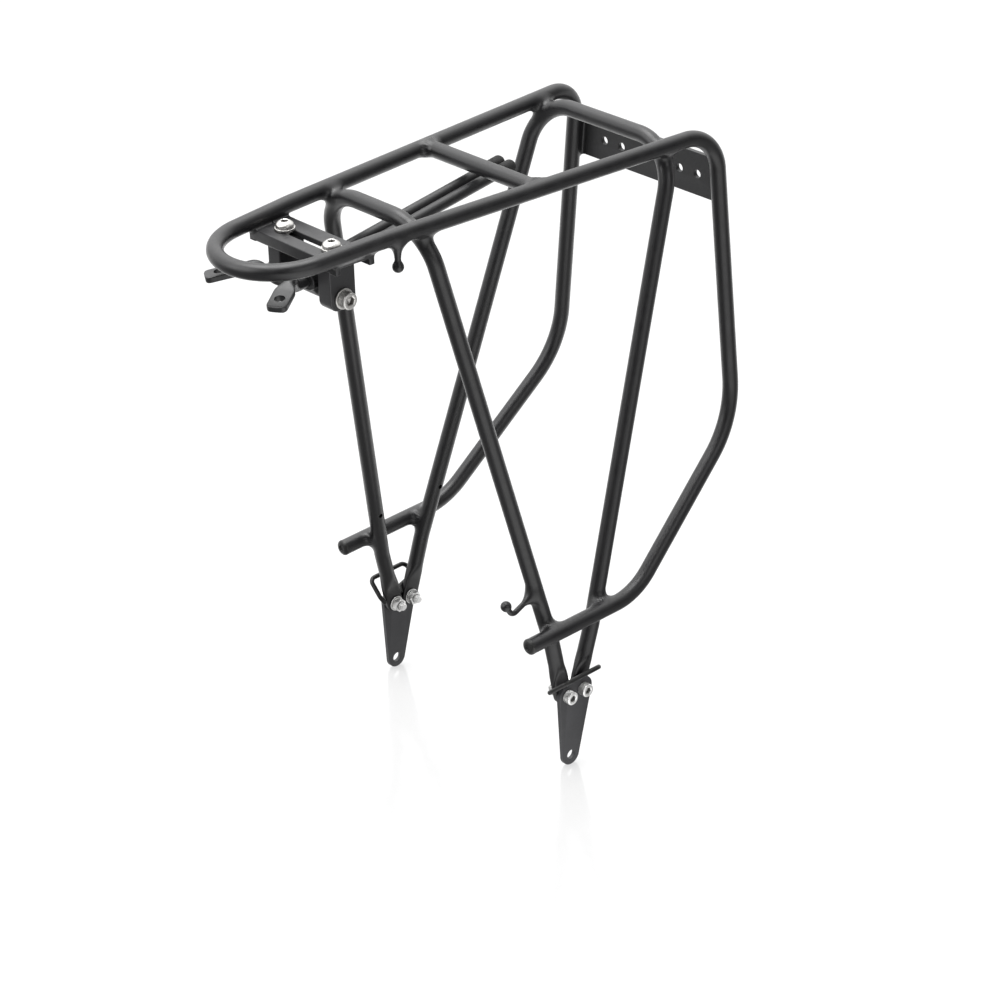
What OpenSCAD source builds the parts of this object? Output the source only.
// Rear rack for a bicycle: tubular frame, foot plates and a sliding front stay clamp.
// Millimetres. Origin midway between the two foot holes, +X forward, +Y left, +Z up.

/* [Tubing] */
// Outer diameter of every frame tube
tube_d = 10; // [9.6:0.1:10.4]
// Wall thickness of the frame tubes
tube_wall = 1.5; // [1:0.1:2]
// Bend radius at the top rear corners of the main hoop
bend_top_r = 24; // [22:1:30]
// Bend radius where the main hoop turns under the pannier
bend_low_r = 60; // [45:1:70]
// Bend radius where the main hoop turns into its forward stub
bend_stub_r = 45; // [35:1:55]
// Bend radius at the top corners of the two leg hoops
bend_hoop_r = 30; // [26:1:32]

/* [Deck] */
// Height of the deck tubes' centre line above the foot holes
deck_h = 365.8; // [360:0.1:370]
// Rear end of the deck rails
deck_rear_x = -150.7; // [-153:0.1:-149]
// Half spacing of the rails at their rear end
deck_half_w = 59.2; // [58:0.1:60]
// Taper of each rail towards the nose, per millimetre of length
deck_taper = 0.08; // [0.078:0.001:0.082]
// Front tip of the nose, on the tube's centre line
nose_x = 174.5; // [173:0.5:177]
// Droop of the nose below the deck
nose_drop = 2.4; // [0:0.2:3]
// Position of the front hoop's cross tube
front_cross_x = 68.7; // [66:0.1:72]
// Position of the mid crossbar
mid_cross_x = -13.5; // [-20:0.5:-8]
// Position of the rear hoop's cross tube
rear_cross_x = -116.7; // [-119:0.1:-114]

/* [Legs] */
// Distance of the flattened leg ends from the middle plane
leg_y = 78.6; // [78:0.1:79]
// Height at which the legs turn upright
knee_z = 84; // [83:1:86]
// Front foot bolt, fore and aft
foot_bolt_front_x = 2.4; // [2.3:0.1:3.5]
// Rear foot bolt, fore and aft
foot_bolt_rear_x = -10.7; // [-11:0.1:-10.5]
// Height of the foot bolts above the foot hole
foot_bolt_z = 44.2; // [43:0.1:47]
// Thickness of the flattened leg ends
flat_t = 4; // [3.5:0.1:4.5]
// Width of the flattened leg ends
flat_w = 12.6; // [12:0.1:13]
// Diameter of the drain holes in the legs
drain_d = 3; // [2:0.5:4]

/* [Foot plates] */
// Thickness of the foot plates
foot_t = 3; // [2.5:0.5:3]
// Diameter of the foot hole
foot_hole_d = 6.4; // [5.2:0.1:6.6]
// Radius of the foot plate's lower end
foot_end_r = 7; // [6.8:0.1:8.5]

/* [Light plate] */
// Height of the rear light plate
light_h = 28; // [26:1:30]
// Width of the rear light plate
light_w = 125; // [120:1:127]
// Thickness of the rear light plate
light_t = 3; // [2:0.5:4]
// Diameter of the light holes
light_hole_d = 5.3; // [5:0.1:5.5]
// Spacing of the wide light holes
light_wide = 80; // [80]
// Spacing of the narrow light holes
light_narrow = 50; // [50]

/* [Stay clamp] */
// Half length of the slotted bar at its rear edge
bar_half = 39.8; // [39.2:0.1:40]
// Half length of the bar's slot, over its round ends
slot_half = 27.5; // [26:0.5:28]
// Distance of the clamp screws from the middle plane
screw_y = 20.4; // [20:0.1:21]
// Lateral pivot bolt, fore and aft
pivot_x = 117.5; // [117:0.1:118]
// Lateral pivot bolt, height
pivot_z = 333.5; // [333:0.1:333.6]
// Sideways angle of the stays in the rod clamp
stay_yaw = 3.65; // [2:0.05:4]
// Rearward rise of the stays
stay_pitch = 5.6; // [4:0.1:5.7]
// Diameter of the stays
stay_d = 7; // [6.6:0.1:7.2]
// Distance of each stay from the middle of the rod clamp
stay_off = 4.8; // [4.8:0.1:5.2]
// Outward angle of each stay's flat tab
tab_splay = 33; // [30:1:36]
// Downward slope of each stay's flat tab
tab_drop = 9; // [6:1:12]
// Running clearance of moving pins, on the radius
run_gap = 0.05; // [0.02:0.01:0.1]

/* [Hidden] */
$fn = 48;

up = [0, 0, 1];
tube_r = tube_d / 2;
bore_r = tube_r - tube_wall;

// Straights lap their bends lengthwise and sleeve them radially, so they join as one solid.
lap = 0.1;
sleeve = 0.01;

// ---- vectors and placement ----

function unit(vec) = vec / norm(vec);
function flip(point) = [point[0], -point[1], point[2]];
function reversed(list) = [for (i = [len(list) - 1:-1:0]) list[i]];
function rail_y(x) = deck_half_w - deck_taper * (x - deck_rear_x);

// rigid placement by an origin and three unit axes
module place(origin, x, y, z)
    multmatrix([
        [x[0], y[0], z[0], origin[0]],
        [x[1], y[1], z[1], origin[1]],
        [x[2], y[2], z[2], origin[2]],
        [0, 0, 0, 1]
    ]) children();

// placement at start, with Z running towards target
module along(start, target) {
    z = unit(target - start);
    helper = abs(z[2]) < 0.9 ? up : [1, 0, 0];
    x = unit(cross(helper, z));
    place(start, x, cross(z, x), z) children();
}

module both_sides() for (side = [0, 1]) mirror([0, side, 0]) children();

// ---- bent tubes ----
// A tube follows the corner points; radii holds one bend radius per point, 0 at both ends.
// Segment i runs from point i to point i + 1.

function corner_angle(before, corner, after) =
    acos(min(1, unit(corner - before) * unit(after - corner)));
function bend_angle(points, i) = corner_angle(points[i - 1], points[i], points[i + 1]);

// length that the bend at point i takes from each neighbouring segment
function bend_trim(points, radii, i) =
    (i == 0 || i == len(points) - 1) ? 0 : radii[i] * tan(bend_angle(points, i) / 2);
function straight_len(points, radii, i) =
    norm(points[i + 1] - points[i]) - bend_trim(points, radii, i) - bend_trim(points, radii, i + 1);
function heading(points, i) = unit(points[i + 1] - points[i]);

// unit normal towards which the tube turns at point i
function turn_side(points, i) = let (
        before = heading(points, i - 1),
        after = heading(points, i)
    ) unit(after - (before * after) * before);

// roll of the bending plane between point i - 1 and point i
function roll(points, i) = let (
        angle = bend_angle(points, i - 1),
        x = cos(angle) * turn_side(points, i - 1) - sin(angle) * heading(points, i - 2),
        y = cross(heading(points, i - 1), x),
        side = turn_side(points, i)
    ) atan2(side * y, side * x);

module ring(outer, bore) {
    difference() {
        circle(r = outer);
        if (bore > 0) circle(r = bore);
    }
}

// straight i, then the bend after it, then the rest of the tube
module tube_from(points, radii, outer, bore, i) {
    length = straight_len(points, radii, i);
    lap_start = i == 0 ? 0 : lap;
    lap_end = i == len(points) - 2 ? 0 : lap;
    translate([0, 0, -lap_start])
        linear_extrude(length + lap_start + lap_end) ring(outer, bore);
    if (i < len(points) - 2) translate([0, 0, length]) {
        next = i + 1;
        angle = bend_angle(points, next);
        bend_r = radii[next];
        rotate([0, 0, i == 0 ? 0 : roll(points, next)]) {
            multmatrix([[-1, 0, 0, bend_r], [0, 0, 1, 0], [0, 1, 0, 0], [0, 0, 0, 1]])
                rotate_extrude(angle = angle, $fn = 96)
                    translate([bend_r, 0]) ring(outer - sleeve, bore > 0 ? bore + sleeve : 0);
            translate([bend_r, 0, 0]) rotate([0, angle, 0]) translate([-bend_r, 0, 0])
                tube_from(points, radii, outer, bore, next);
        }
    }
}

module tube(points, radii, outer = tube_r, bore = bore_r) {
    z = heading(points, 0);
    x = turn_side(points, 1);
    place(points[0], x, cross(z, x), z) tube_from(points, radii, outer, bore, 0);
}

// ---- shared shapes ----

module slot_2d(length, radius) {
    square([length - 2 * radius, 2 * radius], center = true);
    for (side = [-1, 1]) translate([side * (length / 2 - radius), 0]) circle(r = radius);
}

module round_rect(width, height, radius) {
    square([width - 2 * radius, height], center = true);
    square([width, height - 2 * radius], center = true);
    for (sx = [-1, 1], sy = [-1, 1])
        translate([sx * (width / 2 - radius), sy * (height / 2 - radius)]) circle(r = radius);
}

// ends of the tangent on the right of two circles, going from the first to the second,
// just inside their edges
function tangent_2d(from, from_r, to, to_r) = let (
        gap = norm(to - from),
        ahead = (to - from) / gap,
        slope = (from_r - to_r) / gap,
        normal = ahead * slope + [ahead[1], -ahead[0]] * sqrt(1 - slope * slope),
        inset = 0.01
    ) [from + normal * (from_r - inset), to + normal * (to_r - inset)];

// shape drawn in XZ, with its thickness in Y starting at y
module xz_plate(y, thick)
    translate([0, y + thick, 0]) rotate([90, 0, 0]) linear_extrude(thick) children();

// cylinder along Y, centred on a point
module y_rod(centre, half, radius)
    translate(centre + [0, half, 0]) rotate([90, 0, 0]) cylinder(h = 2 * half, r = radius);

// ---- main hoop ----

stub_tip = [35.2, 86.0, 95.5];
stub_rear = [-52.8, 87.2, 95.9];
low_corner = [-150.0, 77.7, 178.9];
top_corner = [deck_rear_x, deck_half_w, deck_h];
droop_x = 100; // where the rails start to droop
droop_r = 150;

// the nose corners lie where the rails meet the tip's tangent
nose_y = rail_y(nose_x);
nose_turn = 90 - atan(deck_taper);
nose_r = (nose_y - 0.1) / tan(nose_turn / 2);

module main_hoop() {
    left_half = [stub_tip, stub_rear, low_corner, top_corner,
        [droop_x, rail_y(droop_x), deck_h], [nose_x, nose_y, deck_h - nose_drop]];
    left_radii = [0, bend_stub_r, bend_low_r, bend_top_r, droop_r, nose_r];
    color([0.09, 0.09, 0.1])
        tube(concat(left_half, [for (point = reversed(left_half)) flip(point)]),
            concat(left_radii, reversed(left_radii)));
}

// ---- leg hoops ----

knee_r = 30;
round_len = 16; // round tube left below the knee
foot_bolt_hole_r = 2.6;
drain_z = 118;

// flattened end of a left leg, with its bolt hole
module leg_end(knee, bolt) {
    flare_len = 12;
    z = unit(bolt - knee);
    x = unit([-z[2], 0, z[0]]);
    bolt_dist = norm(bolt - knee) - round_len;
    place(knee + z * round_len, x, cross(z, x), z) {
        hull($fn = 32) {
            translate([0, 0, -1]) cylinder(h = 1, r = tube_r - 0.06);
            translate([0, 0, flare_len]) linear_extrude(0.5)
                slot_2d(flat_w - 0.06, flat_t / 2 - 0.03);
        }
        difference() {
            union() {
                translate([-flat_w / 2, -flat_t / 2, flare_len])
                    cube([flat_w, flat_t, bolt_dist - flare_len]);
                y_rod([0, 0, bolt_dist], flat_t / 2, flat_w / 2);
            }
            y_rod([0, 0, bolt_dist], flat_t, foot_bolt_hole_r);
        }
    }
}

// inverted U with a cross tube at the deck and two legs
module leg_hoop(cross_x, foot_x) {
    shoulder = [cross_x, rail_y(cross_x) + 0.3, deck_h - 0.4];
    lean = (cross_x - foot_x) / (deck_h - foot_bolt_z);
    knee = [foot_x + lean * (knee_z - foot_bolt_z), leg_y, knee_z];
    bolt = [foot_x, leg_y, foot_bolt_z];
    tube_end = knee + unit(bolt - knee) * round_len;
    drain = shoulder + (knee - shoulder) * (deck_h - drain_z) / (deck_h - knee_z);
    difference() {
        union() {
            tube([tube_end, knee, shoulder, flip(shoulder), flip(knee), flip(tube_end)],
                [0, knee_r, bend_hoop_r, bend_hoop_r, knee_r, 0]);
            both_sides() leg_end(knee, bolt);
        }
        // drain holes on the inner faces of the legs
        for (side = [-1, 1])
            translate([drain[0], side * drain[1], drain[2]]) rotate([side * 90, 0, 0])
                cylinder(h = tube_r + 2, r = drain_d / 2);
    }
}

module front_hoop() color([0.09, 0.09, 0.1]) leg_hoop(front_cross_x, foot_bolt_front_x);
module rear_hoop() color([0.1, 0.1, 0.11]) leg_hoop(rear_cross_x, foot_bolt_rear_x);

module mid_crossbar() {
    centre = [mid_cross_x, 0, deck_h];
    half = rail_y(mid_cross_x);
    cope_rear_x = deck_rear_x + 60;
    cope_front_x = nose_x - 60;
    color([0.11, 0.11, 0.12]) difference() {
        y_rod(centre, half, tube_r);
        y_rod(centre, half + 1, bore_r);
        // coped to sit on the rails
        for (side = [-1, 1])
            along([cope_rear_x, side * rail_y(cope_rear_x), deck_h],
                    [cope_front_x, side * rail_y(cope_front_x), deck_h])
                cylinder(h = 160, r = tube_r - 0.15);
    }
}

// ---- welded plates and pegs ----

bar_rear_x = 104;
bar_front_x = 130.5;
bar_z = 354;
bar_h = 7.3;
flange_t = 3.6;
channel_depth = 4;
screw_x = 118.4;
slot_r = 3.2;

// a channel: a web over two flanges that keep the clamp blocks from turning
module slotted_bar() {
    // the ends run parallel to the rails
    rear_half = bar_half;
    front_half = bar_half - deck_taper * (bar_front_x - bar_rear_x);
    rear_cut = 1;
    front_cut = 1.5;
    left_edge = [
        [bar_rear_x, rear_half - rear_cut],
        [bar_rear_x + rear_cut, rear_half],
        [bar_front_x - front_cut, front_half],
        [bar_front_x, front_half - front_cut]
    ];
    right_edge = [for (corner = left_edge) [corner[0], -corner[1]]];
    color([0.13, 0.13, 0.14]) translate([0, 0, bar_z]) difference() {
        linear_extrude(bar_h) polygon(concat(right_edge, reversed(left_edge)));
        translate([bar_rear_x + flange_t, -50, -1])
            cube([bar_front_x - bar_rear_x - 2 * flange_t, 100, channel_depth + 1]);
        translate([screw_x, 0, -1]) linear_extrude(10) rotate(90) slot_2d(2 * slot_half, slot_r);
    }
}

module light_plate() {
    centre_z = 330.7;
    weld_sink = 0.3;
    half_w = light_w / 2;
    lean_in = 2.1;
    lean_start = -10; // height on the plate where its ends start to lean
    color([0.12, 0.12, 0.13])
        translate([deck_rear_x - tube_r - light_t + weld_sink, 0, centre_z])
            rotate([90, 0, 90]) linear_extrude(light_t) difference() {
                round_rect(light_w, light_h, 2.5);
                // the ends lean in with the uprights
                for (side = [-1, 1]) polygon([
                    [side * (half_w - lean_in), light_h / 2 + 0.5],
                    [side * (half_w + 4), light_h / 2 + 0.5],
                    [side * (half_w + 4), lean_start],
                    [side * half_w, lean_start]
                ]);
                for (spacing = [light_wide, light_narrow], side = [-1, 1])
                    translate([side * spacing / 2, 0]) circle(r = light_hole_d / 2);
            }
}

// ball peg under the left rail that holds the top end of a pump
module pump_peg() {
    peg_x = 87.5;
    // radius, height
    profile = [[0, -9], [1.9, -9], [1.9, -4.5], [2.4, -2], [3.6, 1], [5.4, 3.6], [5.4, 6.2],
        [0, 6.2]];
    color([0.1, 0.1, 0.11]) translate([peg_x, rail_y(peg_x), 0]) {
        translate([0, 0, deck_h - 9]) rotate_extrude() polygon(profile);
        translate([0, 0, deck_h - 18.8]) sphere(r = 3.5);
    }
}

// curled hook on the left front leg that holds the lower end of a pump
module pump_hook() {
    hook_y = 73.6;
    root = [21.5, hook_y, 120.2];
    corner = [38.2, hook_y, 113.2];
    tip = [43, hook_y, 121.4];
    color([0.1, 0.1, 0.11]) {
        tube([root + 0.35 * (corner - root), corner, tip], [0, 4, 0], outer = 1.9, bore = 0);
        along(root, corner) cylinder(h = 0.45 * norm(corner - root), r1 = 4.2, r2 = 1.7);
        translate(tip) sphere(r = 3.4);
    }
}

module foot_plate() {
    // in XZ
    foot = [0, 0];
    front = [foot_bolt_front_x, foot_bolt_z];
    rear = [foot_bolt_rear_x, foot_bolt_z];
    front_r = 6.8;
    rear_r = 8;
    xz_plate(leg_y + flat_t / 2, foot_t) difference() {
        union() {
            translate(foot) circle(r = foot_end_r);
            translate(front) circle(r = front_r);
            translate(rear) circle(r = rear_r);
            polygon(concat(
                tangent_2d(foot, foot_end_r, front, front_r),
                tangent_2d(front, front_r, rear, rear_r),
                tangent_2d(rear, rear_r, foot, foot_end_r)));
        }
        circle(r = foot_hole_d / 2);
        for (bolt = [front, rear]) translate(bolt) circle(r = foot_bolt_hole_r);
    }
}

module foot_plate_left() color([0.14, 0.14, 0.15]) foot_plate();
module foot_plate_right() color([0.14, 0.14, 0.15]) mirror([0, 1, 0]) foot_plate();

// bail of round wire that wraps the front leg and comes back between the legs;
// it lies in one plane, tilted up and outward
module strap_loop() {
    tilt = 41.3;
    wire_r = 1.5;
    plane_y = leg_y + 5.8;
    plane_z = foot_bolt_z + 10;
    // x, distance up the tilted plane, bend radius
    stations = [
        [11.2, -10.6, 0], [12.2, -5, 6], [11.4, 8.6, 4], [-20.5, 9, 4],
        [-17.5, -1, 4], [-6, -3.6, 3], [-3.8, -8.4, 0]
    ];
    points = [for (station = stations)
        [station[0], plane_y + station[1] * cos(tilt), plane_z + station[1] * sin(tilt)]];
    tube(points, [for (station = stations) station[2]], outer = wire_r, bore = 0);
}

module strap_loop_left() color([0.07, 0.07, 0.07]) strap_loop();
module strap_loop_right() color([0.07, 0.07, 0.07]) mirror([0, 1, 0]) strap_loop();

// ---- fastener shapes ----
// Screws have the head's bearing face at z = 0 and the head upwards.

module hex_key(across_flats, depth)
    cylinder(h = depth, r = across_flats / 2 / cos(30), $fn = 6);

module shank(diameter, length) translate([0, 0, -length]) cylinder(h = length, r = diameter / 2);

// socket cap screw
module cap_screw(diameter, length, head_d, head_h, key) {
    chamfer = 0.5;
    difference() {
        union() {
            cylinder(h = head_h - chamfer, r = head_d / 2);
            translate([0, 0, head_h - chamfer])
                cylinder(h = chamfer, r1 = head_d / 2, r2 = head_d / 2 - chamfer);
            shank(diameter, length);
        }
        translate([0, 0, head_h - head_h * 0.55]) hex_key(key, head_h);
    }
}

// button head screw
module button_screw(diameter, length, head_d, head_h, key) {
    difference() {
        union() {
            intersection() {
                translate([0, 0, -2.2]) sphere(r = 6.6, $fn = 64);
                cylinder(h = head_h, r = head_d / 2);
            }
            shank(diameter, length);
        }
        translate([0, 0, head_h - 2]) hex_key(key, 4);
    }
}

// bore through a washer or nut of the given thickness
module through_bore(diameter, thick)
    translate([0, 0, -1]) cylinder(h = thick + 2, r = diameter / 2);

module washer(diameter, bore, thick) {
    difference() {
        cylinder(h = thick, r = diameter / 2);
        through_bore(bore, thick);
    }
}

module hex_nut(across_flats, bore, thick) {
    difference() {
        hex_key(across_flats, thick);
        through_bore(bore, thick);
    }
}

// ---- foot fasteners ----

foot_bolt_xs = [foot_bolt_front_x, foot_bolt_rear_x];
foot_gap = 0.02; // between stacked parts
foot_washer_t = 1;
foot_head_y = leg_y + flat_t / 2 + foot_t + foot_gap;
leg_inner_y = leg_y - flat_t / 2;

// at the left foot bolts, at distance y from the middle plane
module at_foot_bolts(y) for (x = foot_bolt_xs) translate([x, y, foot_bolt_z]) children();

module foot_bolts() {
    length = foot_head_y - leg_inner_y + 8.4;
    at_foot_bolts(foot_head_y) rotate([-90, 0, 0])
        cap_screw(diameter = 5, length = length, head_d = 8.5, head_h = 5, key = 4);
}

module foot_bolts_left() color([0.75, 0.75, 0.73]) foot_bolts();
module foot_bolts_right() color([0.75, 0.75, 0.73]) mirror([0, 1, 0]) foot_bolts();

module foot_washers()
    color([0.7, 0.7, 0.68]) both_sides() at_foot_bolts(leg_inner_y - foot_gap)
        rotate([90, 0, 0]) washer(diameter = 10, bore = 5.2, thick = foot_washer_t);

module foot_nuts()
    color([0.72, 0.72, 0.7]) both_sides()
        at_foot_bolts(leg_inner_y - foot_washer_t - 2 * foot_gap)
            rotate([90, 30, 0]) hex_nut(across_flats = 8, bore = 5.02, thick = 4);

// plug in the open end of the main hoop's stub
module tube_plug() {
    plug_r = bore_r - 0.02;
    rim_r = tube_r + 0.1;
    // radius, distance out of the tube
    profile = [[0, -10], [plug_r, -10], [plug_r, 0.02], [rim_r, 0.02], [rim_r, 1.3],
        [tube_r - 0.5, 2.1], [2.4, 2.7], [1.7, 2.0], [0, 1.8]];
    along(stub_tip, 2 * stub_tip - stub_rear) rotate_extrude() polygon(profile);
}

module tube_plug_left() color([0.06, 0.06, 0.06]) tube_plug();
module tube_plug_right() color([0.06, 0.06, 0.06]) mirror([0, 1, 0]) tube_plug();

// ---- stay clamp: blocks and fasteners ----

clamp_gap = 0.05; // between stacked parts
block_inner_y = 16.5;
block_outer_y = 27;
block_side_gap = 0.4; // to each flange of the slotted bar
block_bore_r = 3.02;
block_washer_t = 1.6;
block_washer_z = bar_z + bar_h + clamp_gap;
pivot_washer_t = 1.2;
pivot_head_y = block_outer_y + pivot_washer_t + 2 * clamp_gap;

module clamp_block() {
    rear_x = bar_rear_x + flange_t + block_side_gap;
    front_x = bar_front_x - flange_t - block_side_gap;
    bottom_z = 326.5;
    top_z = bar_z + channel_depth - 0.1;
    corner_r = 6;
    difference() {
        xz_plate(block_inner_y, block_outer_y - block_inner_y) {
            translate([rear_x, bottom_z + corner_r])
                square([front_x - rear_x, top_z - bottom_z - corner_r]);
            translate([rear_x + corner_r, bottom_z])
                square([front_x - rear_x - 2 * corner_r, corner_r + 1]);
            for (x = [rear_x + corner_r, front_x - corner_r])
                translate([x, bottom_z + corner_r]) circle(r = corner_r);
        }
        translate([screw_x, screw_y, top_z - 14]) cylinder(h = 15, r = block_bore_r);
        translate([pivot_x, 30, pivot_z]) rotate([90, 0, 0]) cylinder(h = 20, r = block_bore_r);
    }
}

module clamp_block_left() color([0.13, 0.13, 0.14]) clamp_block();
module clamp_block_right() color([0.13, 0.13, 0.14]) mirror([0, 1, 0]) clamp_block();

// at both clamp screws, at height z
module at_block_screws(z) for (side = [-1, 1]) translate([screw_x, side * screw_y, z]) children();

module block_washers()
    color([0.75, 0.75, 0.73]) at_block_screws(block_washer_z)
        washer(diameter = 12, bore = 6.3, thick = block_washer_t);

module block_screws()
    color([0.78, 0.78, 0.76]) at_block_screws(block_washer_z + block_washer_t + clamp_gap)
        button_screw(diameter = 6, length = 18, head_d = 10.5, head_h = 3.8, key = 4);

module pivot_bolt()
    color([0.78, 0.78, 0.76]) translate([pivot_x, pivot_head_y, pivot_z]) rotate([-90, 0, 0])
        cap_screw(diameter = 6, length = 66, head_d = 10, head_h = 5.2, key = 5);

module pivot_washers() {
    near_y = block_outer_y + clamp_gap;
    color([0.75, 0.75, 0.73])
        for (y = [near_y + pivot_washer_t, -near_y])
            translate([pivot_x, y, pivot_z]) rotate([90, 0, 0])
                washer(diameter = 12.4, bore = 6.2, thick = pivot_washer_t);
}

module pivot_nut()
    color([0.72, 0.72, 0.7]) translate([pivot_x, -pivot_head_y, pivot_z]) rotate([90, 0, 0])
        hex_nut(across_flats = 10, bore = 6.02, thick = 5);

// ---- stays ----
// side is 1 for the left stay and -1 for the right one.

stay_r = stay_d / 2;
stay_rear_len = 160; // behind the rod clamp's centre
stay_front_len = 18; // from that centre to the first front bend
tab_w = 12;
tab_t = 4;
// forward direction shared by both stays
stay_dir = [cos(stay_pitch) * cos(stay_yaw), cos(stay_pitch) * sin(stay_yaw), -sin(stay_pitch)];

function stay_centre(side) = [pivot_x, side * stay_off, pivot_z + 7.5];
function stay_rear(side) = stay_centre(side) - stay_dir * stay_rear_len;

// two lobes around the stays, on a barrel around the pivot bolt
module rod_clamp() {
    pivot = [pivot_x, 0, pivot_z];
    lobe_len = 17;
    slit_w = 1.4;
    slit_x = unit(cross(stay_dir, up));
    color([0.1, 0.1, 0.11]) difference() {
        union() {
            for (side = [-1, 1])
                along(stay_centre(side) - lobe_len / 2 * stay_dir, stay_centre(side))
                    cylinder(h = lobe_len, r = 6.2);
            y_rod(pivot, block_inner_y - 0.1, 4.7);
            translate(pivot - [4.5, 9, 0]) cube([9, 18, 9]);
        }
        for (side = [-1, 1]) {
            along(stay_centre(side) - 30 * stay_dir, stay_centre(side))
                cylinder(h = 60, r = stay_r + run_gap);
            // slit that lets the lobe close on its stay
            place(stay_centre(side), slit_x, cross(up, slit_x), up)
                translate([-slit_w / 2, -20, 0]) cube([slit_w, 40, 12]);
        }
        y_rod(pivot, 20, 3 + run_gap);
    }
}

// outline of the flat tab around its hole, X towards the tip
module tab_2d() {
    rear = 9;
    corner_x = 5;
    corner_r = 3.4;
    difference() {
        union() {
            translate([-rear, -tab_w / 2]) square([rear + corner_x, tab_w]);
            translate([4, -3]) square([4.6, 6]);
            for (end = [-1, 1])
                translate([corner_x, end * (tab_w / 2 - corner_r)]) circle(r = corner_r);
        }
        circle(r = 3.15);
    }
}

// round stay, cranked up and outward at the front into a flat drilled tab
module stay(side) {
    crank = stay_centre(side) + stay_dir * stay_front_len;
    tab_hole = [161.6, side * 26.5, 346];
    x = [cos(tab_drop) * cos(tab_splay), side * cos(tab_drop) * sin(tab_splay), -sin(tab_drop)];
    y = unit(cross(up, x));
    skin = 0.04; // the flare's end stays this far inside the tab
    tube([stay_rear(side), crank, tab_hole - x * 21, tab_hole - x * 17], [0, 8, 6, 0],
        outer = stay_r, bore = 0);
    place(tab_hole, x, y, cross(x, y)) {
        hull($fn = 32) {
            translate([-18, 0, 0]) rotate([0, 90, 0]) cylinder(h = 1, r = stay_r - 0.05);
            translate([-9, skin - tab_w / 2, skin - tab_t / 2])
                cube([0.5, tab_w - 2 * skin, tab_t - 2 * skin]);
        }
        translate([0, 0, -tab_t / 2]) linear_extrude(tab_t) tab_2d();
    }
}

module stay_left() color([0.11, 0.11, 0.12]) stay(1);
module stay_right() color([0.11, 0.11, 0.12]) stay(-1);

// cap over the rear end of a stay
module stay_cap(side) {
    // radius, distance forward from the cap's base
    profile = [[0, -0.9], [2.4, -0.6], [3.6, 0.4], [4.2, 1.8], [4.2, 13], [3.9, 13.4],
        [3.52, 13.4], [3.52, 2.18], [0, 2.18]];
    along(stay_rear(side) - 2.2 * stay_dir, stay_rear(side)) rotate_extrude() polygon(profile);
}

module stay_cap_left() color([0.05, 0.05, 0.05]) stay_cap(1);
module stay_cap_right() color([0.05, 0.05, 0.05]) stay_cap(-1);

main_hoop();
front_hoop();
rear_hoop();
mid_crossbar();
slotted_bar();
light_plate();
pump_peg();
pump_hook();
foot_plate_left();
foot_plate_right();
strap_loop_left();
strap_loop_right();
foot_bolts_left();
foot_bolts_right();
foot_washers();
foot_nuts();
tube_plug_left();
tube_plug_right();
clamp_block_left();
clamp_block_right();
block_screws();
block_washers();
pivot_bolt();
pivot_washers();
pivot_nut();
rod_clamp();
stay_left();
stay_right();
stay_cap_left();
stay_cap_right();
